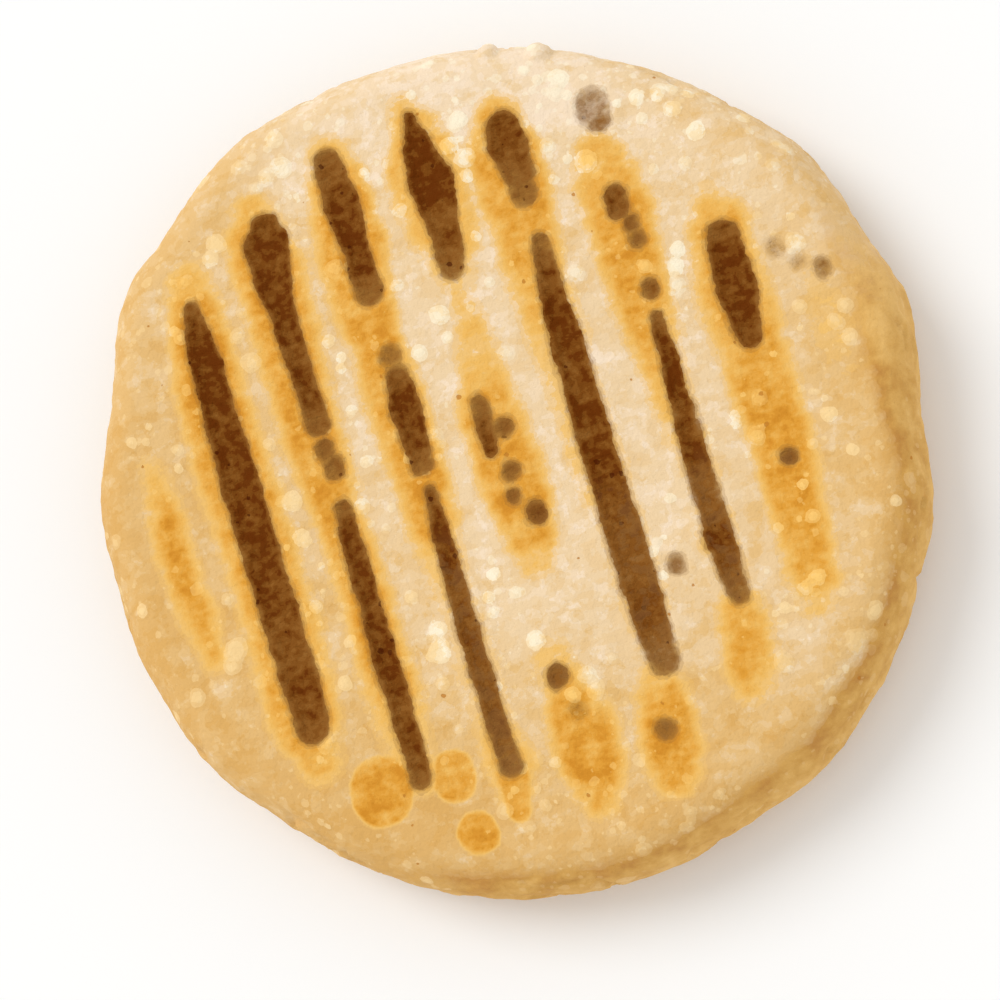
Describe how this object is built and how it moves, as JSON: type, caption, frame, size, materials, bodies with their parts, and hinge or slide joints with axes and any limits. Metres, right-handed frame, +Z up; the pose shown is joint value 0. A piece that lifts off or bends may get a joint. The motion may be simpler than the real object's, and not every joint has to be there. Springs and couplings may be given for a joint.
{
  "type": "arepa corn cake",
  "caption": "Thick round griddled corn cake with an uneven patted rim, a slightly domed pale top and charred grate marks. Lies flat on its base.",
  "frame": {"origin": "middle of the cake's bounding box, on the flat base it lies on", "axes": "+Z up through the thickness, from the base to the browned top; +Y towards the pale rim, 18 degrees off the way the top's grate marks run; +X across them"},
  "size_m": [0.1082, 0.1104, 0.0173],
  "materials": {
    "corn_crust": "dry griddled corn dough: cream in the middle, tan to golden towards the rim and round the grate marks, dark brown char in them"
  },
  "bodies": {
    "root": {"arepa": "corn_crust"}
  },
  "joints": []
}
